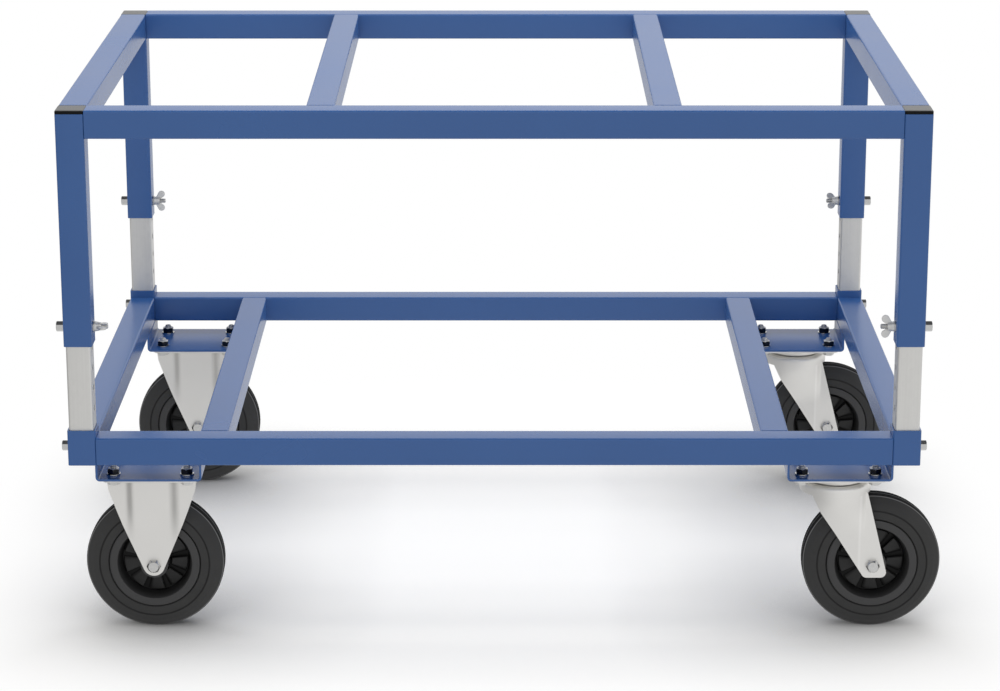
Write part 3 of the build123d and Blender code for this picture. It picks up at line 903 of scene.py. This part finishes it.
# %% Swivel forks
swivel_tip = 8 * mm
front_reach = 11.7 * mm
back_reach = 8.2 * mm
leg_top = cup_bottom + 3 * mm
cup = [
    (pin_hole, cup_floor, 0.3 * mm),
    (cup_radius - fork_sheet, cup_floor, 2.5 * mm),
    (cup_radius - fork_sheet, cup_bottom, 0.8 * mm),
    (cup_radius, cup_bottom, 1.8 * mm),
    (cup_radius, cup_rim, 9 * mm),
    (pin_hole, cup_rim, 0.3 * mm),
]
for end in ends:
    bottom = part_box(f"swivel_fork_{end}")[0].z
    centre = middle(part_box(f"swivel_plate_{end}"))
    trail = middle(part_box(f"swivel_axle_{end}")).x - centre.x
    tip_height = bottom + swivel_tip
    forward = round_tip(trail + front_reach, tip_height, swivel_tip)
    forward += [(45 * mm, cup_bottom), (44 * mm, leg_top)]
    backward = round_tip(back_reach - trail, tip_height, swivel_tip)
    backward += [(24 * mm, cup_bottom - 24 * mm), (35.5 * mm, cup_bottom), (36 * mm, leg_top)]
    heights = leg_heights(bottom, swivel_tip, leg_top, tip_step=8, rows=60)
    bm = bmesh.new()
    axis = Matrix.Translation((centre.x, centre.y, 0))
    for mirrored in (1, -1):
        place = axis @ Matrix.Diagonal((1, mirrored, 1, 1))
        pressed_leg(
            bm, lambda z: -widest(backward, z), lambda z: widest(forward, z),
            swivel_skin, swivel_painted_highlight, heights, place, columns=72,
        )
    turn(bm, rounded(cup, steps=8), axis, steps=96)
    break_edges(piece(f"swivel_fork_{end}", bm), sheet_edge, sheet_angle)
print("2 swivel forks, trail", round(1000 * trail), "mm")

# %% [markdown]
# ## Fasteners
# Heads and nuts are hexagons whose corners are turned off, which leaves the curved edge that
# every real one has. A plain six-sided cylinder lacks that edge, and with it the glint that makes
# a bolt look like a bolt. Threads that show get a real helix. The sizes come from the CAD solids,
# so each fastener sits where its hole is.


# %% Hexagons
def ring_of(outline, radius, height):
    """The points of an outline drawn in or out to a circle."""
    return [(*(p.normalized() * radius), height) for p in outline]


def hexagon(bm, flats, height, place, both=False, bore=0.0, face=0.95, steep=30):
    """Head or nut along Z from its seat; both ends of a nut are turned off."""
    steps = 6
    bore_edge = 0.5 * mm
    ring = face * flats / 2
    tips = [Matrix.Rotation(pi / 3 * k, 2) @ Vector((flats / sqrt(3), 0)) for k in range(7)]
    outline = []
    for here, after in zip(tips, tips[1:]):
        outline += [here * (1 - s / steps) + after * (s / steps) for s in range(steps)]
    cut = [max(p.length - ring, 0) * tan(radians(steep)) for p in outline]
    seat = [(p.x, p.y, c if both else 0) for p, c in zip(outline, cut)]
    top = [(p.x, p.y, height - c) for p, c in zip(outline, cut)]
    layers = [seat, top, ring_of(outline, ring, height)]
    if both:
        layers.insert(0, ring_of(outline, ring, 0))
    if bore:
        layers.append(ring_of(outline, bore + bore_edge, height))
        layers.append(ring_of(outline, bore, height - bore_edge))
    stack(bm, layers, place)


print(len([node for node in slot_of if "bolts" in node or "screws" in node]), "nodes of bolts")


# %% Threads and washers
def threaded(bm, diameter, pitch, length, place, steps=20):
    """A thread with its helix, and a chamfered end at the far side."""
    per_turn = 4
    thread_depth = 0.6 * pitch
    rows = max(round(length / pitch * per_turn), 4)
    layers = []
    for row in range(rows + 1):
        z = length * row / rows
        limit = diameter / 2 - max(z - (length - pitch), 0)
        layer = []
        for k in range(steps):
            phase = (z / pitch - k / steps) % 1
            r = min(diameter / 2 - thread_depth * (1 - abs(2 * phase - 1)), limit)
            layer.append((r * cos(2 * pi * k / steps), r * sin(2 * pi * k / steps), z))
        layers.append(layer)
    stack(bm, layers, place)


def shank(bm, diameter, length, place):
    """A plain round bar."""
    turn(bm, [(0, 0), (diameter / 2, 0), (diameter / 2, length), (0, length)], place, steps=24)


def washers(node, axis, hole):
    """Flat rings with broken edges for the solids of a node; axis is 0 for X and 2 for Z."""
    edge = 0.25 * mm
    direction = [0, 0, 0]
    direction[axis] = 1
    bm = bmesh.new()
    for low, high in solids(node):
        at = middle((low, high))
        at[axis] = low[axis]
        outer = (high.y - low.y) / 2
        thick = high[axis] - low[axis]
        outline = [(hole, 0, edge), (outer, 0, edge), (outer, thick, edge), (hole, thick, edge)]
        turn(bm, rounded(outline, steps=2), pointing(direction, (0, 1, 0), at), steps=40)
    piece(node, bm)


clamp_hole = 4.3 * mm
caster_hole = 5.4 * mm
washers("clamp_washers", 0, clamp_hole)
washers("caster_washers", 2, caster_hole)
print(len(solids("clamp_washers")), "clamp and", len(solids("caster_washers")), "caster washers")

# %% Leg screws and clamp bolts
thread_8 = 8 * mm
pitch_8 = 1.25 * mm
small_head = 10 * mm
for node, thread_length in (("leg_screws", 0), ("clamp_bolts", 24 * mm)):
    bm = bmesh.new()
    for low, high in solids(node):
        outward = 1 if low.x > 0 else -1
        tip_x, head_x = (low.x, high.x) if outward > 0 else (high.x, low.x)
        at = middle((low, high))
        seat = Vector((head_x - outward * small_head, at.y, at.z))
        hexagon(bm, high.y - low.y, small_head, pointing((outward, 0, 0), (0, 0, 1), seat))
        plain = abs(seat.x - tip_x) - thread_length
        shank(bm, thread_8, plain, pointing((-outward, 0, 0), (0, 1, 0), seat))
        if thread_length:
            start = Vector((seat.x - outward * plain, at.y, at.z))
            threaded(bm, thread_8, pitch_8, thread_length, pointing((-outward, 0, 0), (0, 1, 0), start))
    piece(node, bm)
print("leg screws and clamp bolts with heads", round(1000 * small_head), "mm high")

# %% Caster bolts and nuts
thread_10 = 10 * mm
pitch_10 = 1.5 * mm
plate_head = 6.4 * mm
plate_thread = 13 * mm
bm = bmesh.new()
for low, high in solids("caster_bolts"):
    at = middle((low, high))
    seat = Vector((at.x, at.y, low.z + plate_head))
    hexagon(bm, high.y - low.y, plate_head, pointing((0, 0, -1), (1, 0, 0), seat))
    start = Vector((at.x, at.y, high.z - plate_thread))
    shank(bm, thread_10, start.z - seat.z, Matrix.Translation(seat))
    threaded(bm, thread_10, pitch_10, plate_thread, Matrix.Translation(start))
piece("caster_bolts", bm, look="satin_zinc")
bm = bmesh.new()
for low, high in solids("caster_nuts"):
    at = middle((low, high))
    place = pointing((0, 0, 1), (0, 1, 0), (at.x, at.y, low.z))
    hexagon(bm, high.y - low.y, high.z - low.z, place, both=True, bore=thread_10 / 2)
piece("caster_nuts", bm, look="nut_with_painted_reflections")
print(len(solids("caster_bolts")), "caster bolts")

# %% Axle bolts
thread_12 = 12 * mm
pitch_12 = 1.75 * mm
axle_head = 7.5 * mm
axle_thread = 14 * mm
for node in ("fixed_axles", "swivel_axle_front", "swivel_axle_rear"):
    bm = bmesh.new()
    for low, high in solids(node):
        at = middle((low, high))
        flats = high.z - low.z
        length = high.y - low.y
        if length < 2 * axle_head:
            place = pointing((0, 1, 0), (1, 0, 0), (at.x, low.y, at.z))
            hexagon(bm, flats, length, place, both=True, bore=thread_12 / 2)
            continue
        seat = Vector((at.x, low.y + axle_head, at.z))
        hexagon(bm, flats, axle_head, pointing((0, -1, 0), (1, 0, 0), seat), face=0.8, steep=55)
        plain = length - axle_head - axle_thread
        shank(bm, thread_12, plain, pointing((0, 1, 0), (1, 0, 0), seat))
        start = seat + Vector((0, plain, 0))
        threaded(bm, thread_12, pitch_12, axle_thread, pointing((0, 1, 0), (1, 0, 0), start))
    piece(node, bm)
print("4 axle bolts")

# %% [markdown]
# ## Wing nuts
# A wing nut is cast, so no edge on it is sharp. Rebuilding the CAD shape from small cubes and
# smoothing it joins hub and wings with the soft hollows of a casting. A bevel would round the
# outer edges only, and leave a sharp line where the wings meet the hub.

# %% Wing nuts
for corner in corners:
    nut = piece(f"wing_nut_{corner}", copy_of(f"wing_nut_{corner}"), crisp=80, look="satin_zinc")
    remesh = nut.modifiers.new("cast", "REMESH")
    remesh.mode = "VOXEL"
    remesh.voxel_size = 0.4 * mm
    remesh.use_smooth_shade = True
    soft = nut.modifiers.new("soft", "SMOOTH")
    soft.factor = 0.5
    soft.iterations = 5
print(len(corners), "wing nuts")

# %% [markdown]
# ## Light
# The studio is an even white room with a soft box overhead, so that shadows lie right under the
# frame and are soft. A box of limited size reaches more of the front of a rear post than of a
# front post. The camera sees the room as pure white. A few spot lamps would light the object too,
# but metal shows what is around it, and a white room is what it shows here. Polished things see
# the room darker overhead and to the left, and a little brighter above the horizon, because metal
# in an even white room has no shape at all. They don't see the soft box.

# %% Room
room_light = 0.70
bright_side = 0.5
side_shade = 0.45
low_glow = 0.2
overhead_shade = 1.1
studio = Finish(bpy.data.worlds.new("studio"))
scene.world = studio.block
rays = studio.node("ShaderNodeLightPath", output="Is Camera Ray")
mirrored_rays = rays.other("Is Glossy Ray").math("MAXIMUM", rays.other("Is Transmission Ray"))
sideways = studio.split(studio.node("ShaderNodeTexCoord", output="Generated"))
aside = 0.7 * (sideways - bright_side).math("ABSOLUTE")
height = sideways.other("Z")
from_side = 1 - side_shade * studio.ramp(aside, 0.35, 0.9)
above_horizon = low_glow * studio.ramp(height, 0.05, 0.25)
overhead = overhead_shade * studio.ramp(height, 0.65, 0.9)
mirrored_light = from_side * (1 + above_horizon - overhead)
light = mirrored_light * mirrored_rays + room_light * (1 - mirrored_rays)
strength = rays + light * (1 - rays)
background = studio.node("ShaderNodeBackground", inputs={"Strength": strength})
studio.node("ShaderNodeOutputWorld", inputs={"Surface": background})
print("room", room_light)

# %% Soft box
lamp_power = 20
lamp_size = (2.6, 2.2)
lamp_height = 2.4
lamp = bpy.data.objects.new("soft_box", bpy.data.lights.new("soft_box", "AREA"))
lamp.data.shape = "RECTANGLE"
lamp.data.size, lamp.data.size_y = lamp_size
lamp.data.energy = lamp_power
lamp.location = (0, 0, lamp_height)
lamp.visible_camera = False
lamp.visible_glossy = False
scene.collection.objects.link(lamp)
print("soft box", lamp_size, "m")

# %% [markdown]
# ## Floor
# The floor is a pale sheet that takes the shadows. An exposure that suits dark blue lifts pale
# paper nearly to white, so the camera sees a glow added to it. Close to a wheel, where an Ambient
# Occlusion node finds the floor covered, the glow is left out, and right under a wheel the sheet's
# colour is darkened too: both are painted shadow. Away from the object, and sooner at its sides,
# the floor turns into the white of the room, so that no horizon shows. Polished things don't see
# the floor, only the room, and from below it is clear.

# %% Paper of the floor
cover_reach = 0.35
wheel_shade = 0.8
paper_glow = 0.35
pale = finish("pale_floor")
to_camera = pale.node("ShaderNodeLightPath", output="Is Camera Ray")
open_sky = pale.node("ShaderNodeAmbientOcclusion", inputs={"Distance": cover_reach}, output="AO")
# Painted shadow: the paper's colour is darkened where the floor is covered.
painted_wheel_shadow = wheel_shade * (1 - pale.ramp(open_sky, 0.2, 0.75))
mottle = pale.noise(3, detail=2)
paper_colour = pale.mix(mottle, (0.945, 0.935, 0.915, 1), (0.955, 0.945, 0.925, 1))
shaded = pale.mix(painted_wheel_shadow, paper_colour, grey(0.45))
paper = pale.node("ShaderNodeBsdfDiffuse", inputs={0: shaded})
# The glow is left out where the floor is covered, which paints the shadow deeper.
glow_level = paper_glow * pale.ramp(open_sky, 0.74, 1.0) * to_camera
glow = pale.node("ShaderNodeEmission", inputs={0: glow_level})
lifted = pale.node("ShaderNodeAddShader", inputs={0: paper, 1: glow})
print("paper under the object")

# %% White beyond the object
wider = 1.5
spread = pale.place((1 / wider, 1, 0))
distance = pale.node("ShaderNodeVectorMath", {"operation": "LENGTH"}, {0: spread}, output="Value")
sidestep = pale.split(pale.place()).math("ABSOLUTE")
beside = pale.ramp(sidestep, 0.56, 0.82)
around = pale.ramp(distance, 0.45, 0.92)
beyond = around.math("MAXIMUM", beside) * to_camera
white = pale.node("ShaderNodeEmission")
fading = pale.node("ShaderNodeMixShader", inputs={0: beyond, 1: lifted, 2: white})
from_below = pale.node("ShaderNodeNewGeometry", output="Backfacing")
clear = pale.node("ShaderNodeBsdfTransparent")
seen = pale.node("ShaderNodeMixShader", inputs={0: from_below, 1: fading, 2: clear})
pale.node("ShaderNodeOutputMaterial", inputs={"Surface": seen})
print("made", pale.block.name)

# %% Floor
floor_size = 60.0
bm = bmesh.new()
bmesh.ops.create_grid(bm, x_segments=2, y_segments=2, size=floor_size / 2)
floor_mesh = bpy.data.meshes.new("floor")
bm.to_mesh(floor_mesh)
bm.free()
floor_mesh.materials.append(pale.block)
floor = bpy.data.objects.new("floor", floor_mesh)
floor.visible_glossy = False
scene.collection.objects.link(floor)
scene.view_settings.view_transform = "Standard"
print("studio with a", floor_size, "m floor")

# %% [markdown]
# ## Update
# The view layer is brought up to date, so that every piece stands where its body puts it.

# %% Update
bpy.context.view_layer.update()
